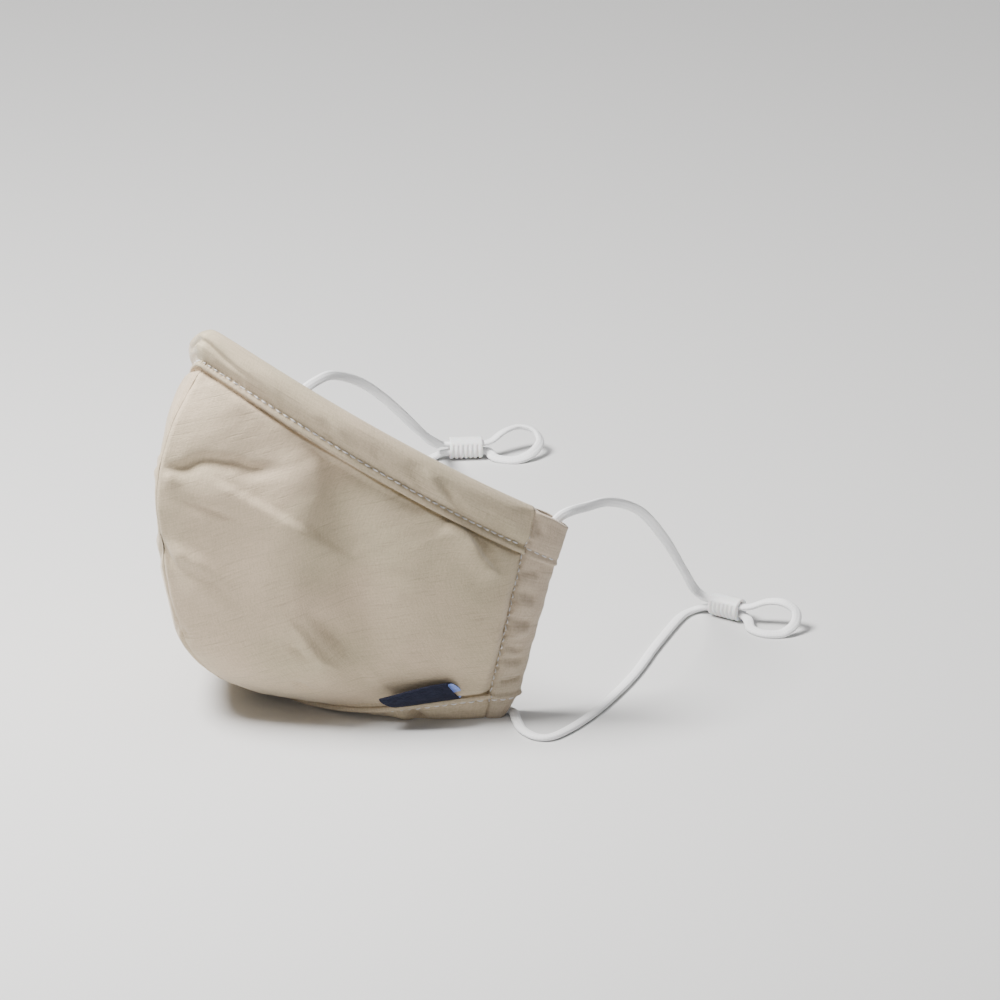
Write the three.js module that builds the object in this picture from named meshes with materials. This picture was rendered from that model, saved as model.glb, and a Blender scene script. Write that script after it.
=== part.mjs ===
// A washable two-panel cotton face mask with adjustable elastic ear loops.
// It stands open on its chin hem, and its ear loops lie on the surface behind it.
// Millimetres, +Z up. The nose points to -Y, and +X is the wearer's left.
// The origin is at the middle of the mask's footprint, without the ear loops.
import * as THREE from "three";

// ---- driving dimensions ----
const clothThickness = 1.6; // two cotton layers and the filter layer between them
const pieceGap = 0.3; // clear space kept between neighbouring pieces
const lapGap = 0.5; // and under a folded flap
const frontOffset = 37.7; // distance from the chin's rear corners forward to the origin
const casingBottomHalfWidth = 60;
const casingTopHalfWidth = 68.5;
const casingHeight = 64.5;
const casingStart = 0.2; // its bottom edge is this far above the surface
const casingFoot = 3.7; // the casing's bottom stands this far behind the chin's corners
const casingLean = 14.9; // how far its top stands behind its bottom
const casingBottomWidth = 11;
const casingTopWidth = 14.4;
const bandWidth = 14.8; // nose band at the casing, from the top edge down to its folded flap
const bandLap = 12.7; // the panel's top edge is tucked this far below the top edge
const noseBandShare = 0.77; // the nose band is narrower at the centre seam
const hemWidth = 8.3;
const hemLap = 6.6;
const bottomMouthLift = 4.2; // the casing's bottom rear corner clears the ear loop
const topMouthDrop = 1; // its top rear corner is drawn down by the ear loop
const cordDiameter = 2.4;
const adjusterLength = 10.8;
const adjusterRadius = 3.6;
const boreRadius = 1.7; // its bore is a slot, where two strands lie one over the other
const boreSpread = 1.25;
const ribCount = 6;
const ribDepth = 0.45;

// ---- mesh resolution ----
const panelColumns = 25;
const panelRows = 20;
const bandSections = 22; // on each side of the nose
const hemSections = 15; // on each side of the chin
const casingSections = 14;
const labelSections = 8;
const cordSteps = 66;
const cordSides = 8;
const adjusterSides = 16;

// The panel's cross-sections, from the chin's hem edge up to the top of the nose.
// reach is measured forward from the chin's rear corners to the seam, which lies on
// the middle plane. The section leaves the seam towards a point front to the side
// and setBack behind it. Its cheek point, [side, reach, height], pulls it outwards on
// its way to the casing.
const sections = [
  { name: "hem_edge", reach: 37, height: -0.2, front: 14, setBack: 0, cheek: [49, 33, 0.3] },
  { name: "under_chin", reach: 54, height: 3.2, front: 12, setBack: 0, cheek: [53, 36, 6] },
  { name: "low_chin", reach: 71, height: 13, front: 11, setBack: 0, cheek: [54, 40, 13] },
  { name: "chin", reach: 83, height: 27, front: 9, setBack: 0, cheek: [56, 45, 23] },
  { name: "lip", reach: 89, height: 45, front: 7, setBack: 2, cheek: [57, 49, 36] },
  { name: "mouth", reach: 92.6, height: 64, front: 6, setBack: 3.5, cheek: [57, 50, 49] },
  { name: "tip", reach: 94.2, height: 84, front: 6, setBack: 4.5, cheek: [57, 50, 63] },
  { name: "upper", reach: 88, height: 102.5, front: 6, setBack: 5, cheek: [56, 48, 77] },
  { name: "bridge", reach: 78, height: 116.5, front: 6, setBack: 4, cheek: [55, 46, 90] },
  { name: "nose", reach: 70, height: 130.2, front: 5, setBack: 1.2, cheek: [54, 44, 100.8] },
];

// Broad folds of the cloth, each a line between two places on the panel. A place is
// [across, up]: across runs from the centre seam (0) to the ear casing (1), and up
// from the chin hem (0) to the nose band (1). height is negative for a dent.
const folds = [
  { name: "nose_swell", from: [0.17, 0.97], to: [0.27, 0.9], width: 9, height: 1.5 },
  { name: "tip_crease_front", from: [0.05, 0.75], to: [0.24, 0.79], width: 4.5, height: -1.6 },
  { name: "tip_crease_rear", from: [0.24, 0.79], to: [0.5, 0.85], width: 4.5, height: -0.8 },
  { name: "tip_bump", from: [0.06, 0.72], to: [0.2, 0.745], width: 4.5, height: 1 },
  { name: "cheek_line_front", from: [0.24, 0.76], to: [0.54, 0.725], width: 5, height: 1 },
  { name: "cheek_line_rear", from: [0.54, 0.725], to: [0.75, 0.595], width: 5, height: 1 },
  { name: "cheek_hollow", from: [0.72, 0.83], to: [0.71, 0.5], width: 15, height: -3 },
  { name: "band_dent", from: [0.6, 0.93], to: [0.6, 0.87], width: 8, height: -1.1 },
  { name: "rear_swell", from: [0.92, 0.8], to: [0.91, 0.4], width: 9, height: 1.8 },
  { name: "v_ridge", from: [0.85, 0.97], to: [0.95, 0.8], width: 4, height: 1.3 },
  { name: "v_valley", from: [0.87, 1], to: [0.95, 0.85], width: 4.5, height: -1.4 },
  { name: "low_ridge", from: [0.5, 0.44], to: [0.62, 0.2], width: 4.5, height: 1.6 },
  { name: "low_valley", from: [0.57, 0.46], to: [0.65, 0.24], width: 5, height: -1.5 },
  { name: "mouth_dent", from: [0.3, 0.65], to: [0.43, 0.6], width: 8, height: -0.9 },
  { name: "seam_crease", from: [0, 0.61], to: [0.14, 0.52], width: 4, height: -1 },
  { name: "seam_swell", from: [0.08, 0.585], to: [0.38, 0.5], width: 5, height: 1.1 },
];

// The ear loops' routes, chosen by hand: out of the casing's top mouth, down to the
// surface, through the adjuster, round the end loop, back through the adjuster and
// along the surface to the casing's bottom mouth.
const leftLoopRoute = [
  [65, 47.9, 54.5], [65.8, 49.7, 60], [66.4, 51.5, 63.8], [67.1, 54.7, 66.8], [66.9, 59.2, 67.4],
  [64, 67.2, 65.7], [57, 82.8, 61.3], [47.5, 102.6, 50], [38, 120.6, 32.5], [31.5, 133.7, 16.1],
  [29.6, 139.3, 8], [31.9, 141.3, 5.3], [35.9, 142.4, 4.95], [41, 144.1, 4.95], [46.1, 145.8, 4.95],
  [49, 147.2, 5.5], [53.5, 150.9, 7.8], [58.2, 153.7, 8.2], [62.3, 155.3, 6.2], [64.8, 152.9, 3.4],
  [64.9, 148.3, 1.6], [61.5, 143.9, 1.35], [55.5, 142.6, 1.4], [50, 145.3, 2], [46.1, 145.8, 2.25],
  [41, 144.1, 2.25], [35.9, 142.4, 2.25], [32.5, 140.4, 1.7], [31.5, 136.2, 1.3], [34.2, 129.3, 1.3],
  [47, 109.7, 1.3], [63, 86.7, 1.3], [77.5, 60.2, 1.3], [84.2, 40.7, 1.3], [82.5, 34, 1.3],
  [75, 33.4, 1.3], [67.5, 36.7, 1.3], [61.4, 40.1, 1.3], [59, 39.7, 1.7], [58.2, 38.2, 3.6],
  [58.7, 38, 7],
];
const rightLoopRoute = [
  [-65, 47.9, 54.5], [-65.8, 49.7, 60], [-66.4, 51.5, 63.8], [-67, 54.8, 66.5], [-68.3, 61.2, 67.9],
  [-71.2, 70.7, 67], [-77, 85.7, 59.2], [-86, 102.5, 46.8], [-96, 119.2, 32.6], [-108, 137.6, 16.8],
  [-115.5, 148.3, 9], [-120.4, 153, 5.9], [-121.6, 155.5, 5.1], [-120.1, 157.3, 4.95],
  [-117.2, 161.8, 4.95], [-114.3, 166.3, 4.95], [-112.9, 169.1, 5.4], [-112.7, 174.2, 7.5],
  [-112, 179.9, 8], [-108.2, 183.3, 6.9], [-103.9, 182.3, 4.5], [-102.2, 176.9, 2.2],
  [-104, 171.2, 1.3], [-109, 167.7, 1.4], [-113.1, 168, 2], [-114.3, 166.3, 2.25],
  [-117.2, 161.8, 2.25], [-120.1, 157.3, 2.25], [-121.9, 153.2, 1.6], [-120, 146.2, 1.3],
  [-111.5, 127.7, 1.3], [-100.5, 104.7, 1.3], [-91, 81.7, 1.3], [-85.5, 59.7, 1.3], [-83, 44.7, 1.3],
  [-77.5, 37.5, 1.3], [-69, 37.3, 1.3], [-61.4, 40.1, 1.3], [-59, 39.7, 1.7], [-58.2, 38.2, 3.6],
  [-58.7, 38, 7],
];

// ---- materials ----
const cotton = { color: 0xcdc1b0, roughness: 0.95, metalness: 0 };
const bandCotton = { color: 0xc9bdab, roughness: 0.95, metalness: 0 };
const casingCotton = { color: 0xc7bbae, roughness: 0.95, metalness: 0 };
const labelRibbon = { color: 0x23273a, roughness: 0.8, metalness: 0 };
const elastic = { color: 0xf1f1f1, roughness: 0.85, metalness: 0 };
const silicone = { color: 0xf4f4f2, roughness: 0.45, metalness: 0 };

// ---- the mask's base surface, on the wearer's left ----
function curveThrough(points) {
  return new THREE.CatmullRomCurve3(points, false, "catmullrom", 0.5);
}

function point(x, reach, z) {
  return new THREE.Vector3(x, frontOffset - reach, z);
}

const seamCurve = curveThrough(sections.map((row) => point(0, row.reach, row.height)));
const frontCurve = curveThrough(sections.map((row) => (
  point(row.front, row.reach - row.setBack, row.height)
)));
const cheekCurve = curveThrough(sections.map((row) => point(...row.cheek)));

function rearPoint(up) {
  const halfWidth = THREE.MathUtils.lerp(casingBottomHalfWidth, casingTopHalfWidth, up);
  const height = THREE.MathUtils.lerp(casingStart, casingHeight, up);
  return point(halfWidth, -casingFoot - casingLean * up, height);
}

// across: 0 at the centre seam, 1 at the rear edge. up: 0 at the hem edge, 1 at the top edge.
function surfacePoint(across, up) {
  const inner = 1 - across;
  return new THREE.Vector3()
    .addScaledVector(seamCurve.getPoint(up), inner ** 3)
    .addScaledVector(frontCurve.getPoint(up), 3 * inner ** 2 * across)
    .addScaledVector(cheekCurve.getPoint(up), 3 * inner * across ** 2)
    .addScaledVector(rearPoint(up), across ** 3);
}

const derivativeStep = 0.002;

function alongAcross(across, up) {
  const low = Math.max(across - derivativeStep, 0);
  const high = Math.min(across + derivativeStep, 1);
  return surfacePoint(high, up).sub(surfacePoint(low, up)).divideScalar(high - low);
}

function alongUp(across, up) {
  const low = Math.max(up - derivativeStep, 0);
  const high = Math.min(up + derivativeStep, 1);
  return surfacePoint(across, high).sub(surfacePoint(across, low)).divideScalar(high - low);
}

function outwardNormal(across, up) {
  return alongAcross(across, up).cross(alongUp(across, up)).normalize();
}

// Places measured in millimetres from the mask's edges.
function upBelowTop(across, depth) {
  return 1 - depth / alongUp(across, 1).length();
}

function upAboveHem(across, height) {
  return height / alongUp(across, 0).length();
}

function acrossFromRear(up, inset) {
  return 1 - inset / alongAcross(1, up).length();
}

function bandScale(across) {
  return THREE.MathUtils.lerp(noseBandShare, 1, across);
}

function casingWidth(up) {
  return THREE.MathUtils.lerp(casingBottomWidth, casingTopWidth, up);
}

function smoothStep(low, high, value) {
  return THREE.MathUtils.smoothstep(value, low, high);
}

// ---- closed meshes ----
function signedVolume(positions, triangles) {
  let volume = 0;
  const [a, b, c] = [new THREE.Vector3(), new THREE.Vector3(), new THREE.Vector3()];
  for (const [i, j, k] of triangles) {
    a.copy(positions[i]);
    b.copy(positions[j]);
    c.copy(positions[k]);
    volume += a.dot(b.cross(c)) / 6;
  }
  return volume;
}

function meshFrom(name, positions, triangles, look) {
  const flipped = signedVolume(positions, triangles) < 0;
  const geometry = new THREE.BufferGeometry().setFromPoints(positions);
  geometry.setIndex(triangles.flatMap(([i, j, k]) => (flipped ? [i, k, j] : [i, j, k])));
  geometry.computeVertexNormals();
  const mesh = new THREE.Mesh(geometry, new THREE.MeshStandardMaterial(look));
  mesh.name = name;
  return mesh;
}

function addQuad(triangles, a, b, c, d) {
  triangles.push([a, b, c], [a, c, d]);
}

// A slab between two grids of points, outer and inner, closed round its border.
function slab(outer, inner) {
  const rows = outer.length;
  const columns = outer[0].length;
  const innerStart = rows * columns;
  const at = (row, column) => row * columns + column;
  const triangles = [];
  for (let row = 0; row < rows - 1; row += 1) {
    for (let column = 0; column < columns - 1; column += 1) {
      const corners = [at(row, column), at(row, column + 1), at(row + 1, column + 1), at(row + 1, column)];
      addQuad(triangles, ...corners);
      addQuad(triangles, ...corners.map((corner) => corner + innerStart).reverse());
    }
  }
  const border = [];
  for (let column = 0; column < columns - 1; column += 1) border.push(at(0, column));
  for (let row = 0; row < rows - 1; row += 1) border.push(at(row, columns - 1));
  for (let column = columns - 1; column > 0; column -= 1) border.push(at(rows - 1, column));
  for (let row = rows - 1; row > 0; row -= 1) border.push(at(row, 0));
  border.forEach((corner, index) => {
    const next = border[(index + 1) % border.length];
    addQuad(triangles, next, corner, corner + innerStart, next + innerStart);
  });
  return { positions: [...outer.flat(), ...inner.flat()], triangles };
}

// A solid bar through closed rings; profile is one ring drawn flat, for its end caps.
function bar(rings, profile) {
  const count = profile.length;
  const triangles = [];
  for (let ring = 0; ring < rings.length - 1; ring += 1) {
    for (let side = 0; side < count; side += 1) {
      const next = (side + 1) % count;
      const [low, high] = [ring * count, (ring + 1) * count];
      addQuad(triangles, low + side, low + next, high + next, high + side);
    }
  }
  const contour = profile.map(([x, y]) => new THREE.Vector2(x, y));
  const lastRing = (rings.length - 1) * count;
  for (const [i, j, k] of THREE.ShapeUtils.triangulateShape(contour, [])) {
    const clockwise = THREE.ShapeUtils.isClockWise(contour);
    const [a, b, c] = clockwise ? [i, j, k] : [i, k, j];
    triangles.push([a, b, c], [lastRing + a, lastRing + c, lastRing + b]);
  }
  return { positions: rings.flat(), triangles };
}

// A pipe between outer and inner rings with the same number of points in each ring.
function pipe(outerRings, innerRings) {
  const count = outerRings[0].length;
  const innerStart = outerRings.length * count;
  const triangles = [];
  const wall = (start, rings, inwards) => {
    for (let ring = 0; ring < rings - 1; ring += 1) {
      for (let side = 0; side < count; side += 1) {
        const next = (side + 1) % count;
        const [low, high] = [start + ring * count, start + (ring + 1) * count];
        const corners = [low + side, low + next, high + next, high + side];
        addQuad(triangles, ...(inwards ? corners.reverse() : corners));
      }
    }
  };
  wall(0, outerRings.length, false);
  wall(innerStart, innerRings.length, true);
  const outerEnd = (outerRings.length - 1) * count;
  const innerEnd = innerStart + (innerRings.length - 1) * count;
  for (let side = 0; side < count; side += 1) {
    const next = (side + 1) % count;
    addQuad(triangles, next, side, innerStart + side, innerStart + next);
    addQuad(triangles, outerEnd + side, outerEnd + next, innerEnd + next, innerEnd + side);
  }
  return { positions: [...outerRings.flat(), ...innerRings.flat()], triangles };
}

// Cloth that meets the surface it stands on lies flat there.
function flattened(position) {
  position.z = Math.max(position.z, 0);
  return position;
}

function mirrored(positions) {
  return positions.map((position) => new THREE.Vector3(-position.x, position.y, position.z));
}

// ---- panels ----
function distanceToSegment(position, start, end) {
  const line = new THREE.Line3(start, end);
  return line.closestPointToPoint(position, true, new THREE.Vector3()).distanceTo(position);
}

const panelPlace = (acrossShare, upShare) => {
  let up = upShare;
  let across = acrossShare;
  for (let round = 0; round < 4; round += 1) {
    across = acrossShare * acrossFromRear(up, casingWidth(up) + pieceGap);
    const highest = upBelowTop(across, bandLap * bandScale(across));
    up = THREE.MathUtils.lerp(upAboveHem(across, hemLap), highest, upShare);
  }
  return [across, up];
};

const foldLines = folds.map((fold) => ({
  ...fold,
  start: surfacePoint(...panelPlace(...fold.from)),
  end: surfacePoint(...panelPlace(...fold.to)),
}));

// Folds fade out towards the panel's sewn edges, and the strip under a flap stays still.
function foldHeight(position, acrossShare, upShare) {
  const stillEdge = 0.03;
  const fadeEnd = 0.12;
  const calm = smoothStep(0, fadeEnd, upShare) * smoothStep(stillEdge, fadeEnd, 1 - upShare)
    * smoothStep(0, fadeEnd, 1 - acrossShare) * smoothStep(0, fadeEnd / 2, acrossShare);
  let height = 0;
  for (const fold of foldLines) {
    const away = distanceToSegment(position, fold.start, fold.end) / fold.width;
    height += fold.height * Math.exp(-(away ** 2));
  }
  return height * calm;
}

function panelSolid() {
  const outer = [];
  const inner = [];
  for (let row = 0; row <= panelRows; row += 1) {
    const outerRow = [];
    const innerRow = [];
    for (let column = 0; column <= panelColumns; column += 1) {
      const [acrossShare, upShare] = [column / panelColumns, row / panelRows];
      const [across, up] = panelPlace(acrossShare, upShare);
      const position = surfacePoint(across, up);
      const normal = outwardNormal(across, up);
      position.addScaledVector(normal, foldHeight(position, acrossShare, upShare));
      const innerPosition = position.clone().addScaledVector(normal, -clothThickness);
      for (const place of [position, innerPosition]) place.x = Math.max(place.x, pieceGap / 2);
      outerRow.push(flattened(position));
      innerRow.push(innerPosition);
    }
    outer.push(outerRow);
    inner.push(innerRow);
  }
  return slab(outer, inner);
}

// ---- nose band and chin hem: folded edges swept from one casing to the other ----
// depth runs from the mask's edge into the panel, and rise is outwards.
const bandProfile = [
  [bandWidth, lapGap], [bandWidth + 0.2, 1], [bandWidth - 0.6, 1.35], [bandWidth - 2.6, 0.7],
  [bandWidth - 4, 1.3], [8.6, 2.2], [6, 2.2], [3.4, 2.7], [1, 2.4], [-0.6, 1.2], [-0.9, 0],
  [-0.5, -1.2], [0.8, -1.9], [6.4, -1.9], [bandLap - lapGap, -clothThickness],
  [bandLap - lapGap, lapGap],
];
const hemProfile = [
  [hemWidth, lapGap], [hemWidth + 0.15, 0.9], [hemWidth - 0.3, 1.25], [hemWidth - 1.2, 1.2],
  [hemWidth - 1.9, 0.75], [4.4, 1.2], [1.4, 1.3], [-0.2, 0.9], [-0.7, -0.2], [-0.3, -1.3],
  [1, -clothThickness], [hemLap - pieceGap, -clothThickness], [hemLap - pieceGap, lapGap],
];

// share runs from the nose or chin (0) to the casing's front line (1).
function edgePlace(share, edgeUp, depth) {
  const reach = Math.max(depth, 0);
  let across = share;
  let up = edgeUp;
  for (let round = 0; round < 4; round += 1) {
    up = edgeUp === 1 ? upBelowTop(across, reach * bandScale(across)) : upAboveHem(across, reach);
    across = share * acrossFromRear(up, casingWidth(up) + lapGap);
  }
  return [across, up];
}

function edgeRing(share, edgeUp, profile) {
  return profile.map(([depth, rise]) => {
    const [across, up] = edgePlace(share, edgeUp, depth);
    const position = surfacePoint(across, up).addScaledVector(outwardNormal(across, up), rise);
    if (depth < 0) {
      const outOfEdge = alongUp(across, up).normalize().multiplyScalar(edgeUp === 1 ? -depth : depth);
      position.add(outOfEdge);
    }
    return flattened(position);
  });
}

function sweptEdge(edgeUp, profile, stepsEachSide) {
  const rings = [];
  for (let step = -stepsEachSide; step <= stepsEachSide; step += 1) {
    const ring = edgeRing(Math.abs(step) / stepsEachSide, edgeUp, profile);
    rings.push(step < 0 ? mirrored(ring) : ring);
  }
  return bar(rings, profile);
}

// ---- ear casings: flat channels, open at both ends, that the elastic runs through ----
// inset runs from the rear edge (0) to the panel (1), and rise is outwards in millimetres.
const casingProfile = [
  [1, 0], [0.9, 0.9], [0.74, 1.6], [0.54, 2], [0.31, 1.9], [0.14, 1.3], [0.03, 0.3],
  [0, -0.8], [0.03, -1.9], [0.14, -3], [0.31, -3.6], [0.54, -3.7], [0.74, -3.3], [0.9, -2.6],
  [1, -clothThickness],
];
const channelProfile = [
  [0.82, -0.6], [0.78, 0.2], [0.68, 0.7], [0.54, 0.85], [0.36, 0.8], [0.21, 0.6], [0.13, 0.1],
  [0.1, -0.8], [0.13, -1.8], [0.21, -2.3], [0.36, -2.5], [0.54, -2.55], [0.68, -2.4], [0.78, -2],
  [0.82, -1.2],
];

function casingRing(profile, up) {
  return profile.map(([inset, rise]) => {
    const across = acrossFromRear(up, inset * casingWidth(up));
    const position = surfacePoint(across, up).addScaledVector(outwardNormal(across, up), rise);
    const nearRear = 1 - smoothStep(0, 0.5, inset);
    position.z += bottomMouthLift * nearRear * (1 - smoothStep(0, 0.12, up));
    position.z -= topMouthDrop * nearRear * smoothStep(0.9, 1, up);
    return flattened(position);
  });
}

function casingSolid() {
  const ups = Array.from({ length: casingSections + 1 }, (_, index) => index / casingSections);
  const rings = (profile) => ups.map((up) => casingRing(profile, up));
  return pipe(rings(casingProfile), rings(channelProfile));
}

// ---- the folded label, sewn in under the hem's upper fold ----
const labelFromAcross = 0.64;
const labelToAcross = 0.83;
const labelSlant = 0.035; // how far its fold is drawn towards the nose, across the panel
const labelProfile = [
  [0, 0], [1.6, 1.5], [4, 3], [6, 3.9], [7, 4], [7.4, 3.5], [7, 2.8], [5, 1.7], [2.4, 0.6], [0.9, 0],
];

function labelSolid() {
  const rings = [];
  for (let step = 0; step <= labelSections; step += 1) {
    const sewn = THREE.MathUtils.lerp(labelFromAcross, labelToAcross, step / labelSections);
    rings.push(labelProfile.map(([height, rise]) => {
      const across = sewn - (labelSlant * height) / labelProfile[5][0];
      const up = upAboveHem(across, hemWidth + pieceGap + 0.2 + height);
      return surfacePoint(across, up).addScaledVector(outwardNormal(across, up), rise + 0.6);
    }));
  }
  return bar(rings, labelProfile);
}

// ---- ear loops and adjusters ----
function cordMesh(name, route) {
  const path = curveThrough(route.map(([x, y, z]) => new THREE.Vector3(x, y, z)));
  const circle = new THREE.Shape().absarc(0, 0, cordDiameter / 2, 0, 2 * Math.PI, false);
  const outline = new THREE.Shape(circle.getPoints(cordSides).slice(0, cordSides));
  const geometry = new THREE.ExtrudeGeometry(outline, { steps: cordSteps, extrudePath: path });
  const mesh = new THREE.Mesh(geometry, new THREE.MeshStandardMaterial(elastic));
  mesh.name = name;
  return mesh;
}

// A barrel with ribs round its lower two thirds, a smooth cap above and a slot for a bore.
function adjusterMesh(name, centre, heading) {
  const stations = [{ share: 0, groove: 0 }, { share: 0.04, groove: 0 }];
  for (let rib = 0; rib < ribCount; rib += 1) {
    const start = 0.06 + (0.88 * rib) / ribCount;
    stations.push({ share: start + 0.02, groove: ribDepth }, { share: start + 0.09, groove: 0 });
  }
  stations.push({ share: 0.96, groove: ribDepth }, { share: 1, groove: 0 });
  const angles = Array.from({ length: adjusterSides }, (_, side) => (2 * Math.PI * side) / adjusterSides);
  const outer = stations.map(({ share, groove }) => angles.map((angle) => {
    const radius = adjusterRadius - (Math.sin(angle) > 0.5 ? 0 : groove);
    const along = (share - 0.5) * adjusterLength;
    return new THREE.Vector3(along, radius * Math.cos(angle), radius * Math.sin(angle));
  }));
  const bore = [-0.5, 0.5].map((share) => angles.map((angle) => {
    const side = boreRadius * Math.cos(angle);
    const height = boreRadius * Math.sin(angle);
    const spread = Math.abs(height) < 0.01 ? 0 : Math.sign(height) * boreSpread;
    return new THREE.Vector3(share * adjusterLength, side, height + spread);
  }));
  const solid = pipe(outer, bore);
  const mesh = meshFrom(name, solid.positions, solid.triangles, silicone);
  mesh.position.set(...centre);
  mesh.rotation.z = heading;
  return mesh;
}

const group = new THREE.Group();

function addPair(name, solid, look) {
  group.add(meshFrom(`left_${name}`, solid.positions, solid.triangles, look));
  group.add(meshFrom(`right_${name}`, mirrored(solid.positions), solid.triangles, look));
}

addPair("panel", panelSolid(), cotton);
addPair("casing", casingSolid(), casingCotton);
const band = sweptEdge(1, bandProfile, bandSections);
group.add(meshFrom("nose_band", band.positions, band.triangles, bandCotton));
const hem = sweptEdge(0, hemProfile, hemSections);
group.add(meshFrom("chin_hem", hem.positions, hem.triangles, bandCotton));
const label = labelSolid();
group.add(meshFrom("side_label", label.positions, label.triangles, labelRibbon));
group.add(cordMesh("left_ear_loop", leftLoopRoute));
group.add(cordMesh("right_ear_loop", rightLoopRoute));
group.add(adjusterMesh("left_adjuster", [41, 144.1, adjusterRadius], 0.319));
group.add(adjusterMesh("right_adjuster", [-117.2, 161.8, adjusterRadius], 0.992));

export default group;
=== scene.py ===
# Looks of a two-panel cotton face mask with adjustable elastic ear loops.
# Lengths are worked out in millimetres and written to the meshes in metres. The camera, the
# floor and the lights are in metres.
import math

import bpy
import numpy as np
from mathutils import Matrix, Vector


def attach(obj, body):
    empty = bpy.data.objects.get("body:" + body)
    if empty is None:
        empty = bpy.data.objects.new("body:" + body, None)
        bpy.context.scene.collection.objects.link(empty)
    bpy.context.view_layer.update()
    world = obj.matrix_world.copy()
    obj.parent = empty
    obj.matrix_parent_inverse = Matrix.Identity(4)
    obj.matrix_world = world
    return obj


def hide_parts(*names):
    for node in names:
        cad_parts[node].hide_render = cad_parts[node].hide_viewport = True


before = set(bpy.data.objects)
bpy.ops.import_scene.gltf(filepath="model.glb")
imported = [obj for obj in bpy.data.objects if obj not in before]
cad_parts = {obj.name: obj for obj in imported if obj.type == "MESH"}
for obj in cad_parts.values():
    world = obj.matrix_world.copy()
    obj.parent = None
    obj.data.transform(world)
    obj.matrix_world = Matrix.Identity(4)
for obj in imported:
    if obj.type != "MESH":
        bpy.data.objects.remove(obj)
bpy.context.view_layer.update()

MM = 0.001
SEED = 7

# ---- driving dimensions in mm, as in the part, but the elastic is flat here ----
FRONT_OFFSET = 37.7
CLOTH = 1.6
CASING_BOTTOM_HALF_WIDTH = 60
CASING_TOP_HALF_WIDTH = 68.5
CASING_HEIGHT = 64.5
CASING_START = 0.2
CASING_FOOT = 3.7
CASING_LEAN = 14.9
CASING_BOTTOM_WIDTH = 11
CASING_TOP_WIDTH = 14.4
BAND_WIDTH = 14.8
BAND_LAP = 12.7
NOSE_BAND_SHARE = 0.77
HEM_WIDTH = 8.3
HEM_LAP = 6.6
BOTTOM_MOUTH_LIFT = 4.2
TOP_MOUTH_DROP = 1
ELASTIC_WIDTH = 3.2
ELASTIC_THICKNESS = 1.8
ADJUSTER_LENGTH = 10.8
ADJUSTER_RADIUS = 3.6
BORE_RADIUS = 1.7
BORE_SPREAD = 1.25

# name, reach, height, front point to the side and set back, cheek x, cheek reach, cheek height
SECTIONS = [
    ("hem_edge", 37, -0.2, 14, 0, 49, 33, 0.3),
    ("under_chin", 54, 3.2, 12, 0, 53, 36, 6),
    ("low_chin", 71, 13, 11, 0, 54, 40, 13),
    ("chin", 83, 27, 9, 0, 56, 45, 23),
    ("lip", 89, 45, 7, 2, 57, 49, 36),
    ("mouth", 92.6, 64, 6, 3.5, 57, 50, 49),
    ("tip", 94.2, 84, 6, 4.5, 57, 50, 63),
    ("upper", 88, 102.5, 6, 5, 56, 48, 77),
    ("bridge", 78, 116.5, 6, 4, 55, 46, 90),
    ("nose", 70, 130.2, 5, 1.2, 54, 44, 100.8),
]

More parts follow.
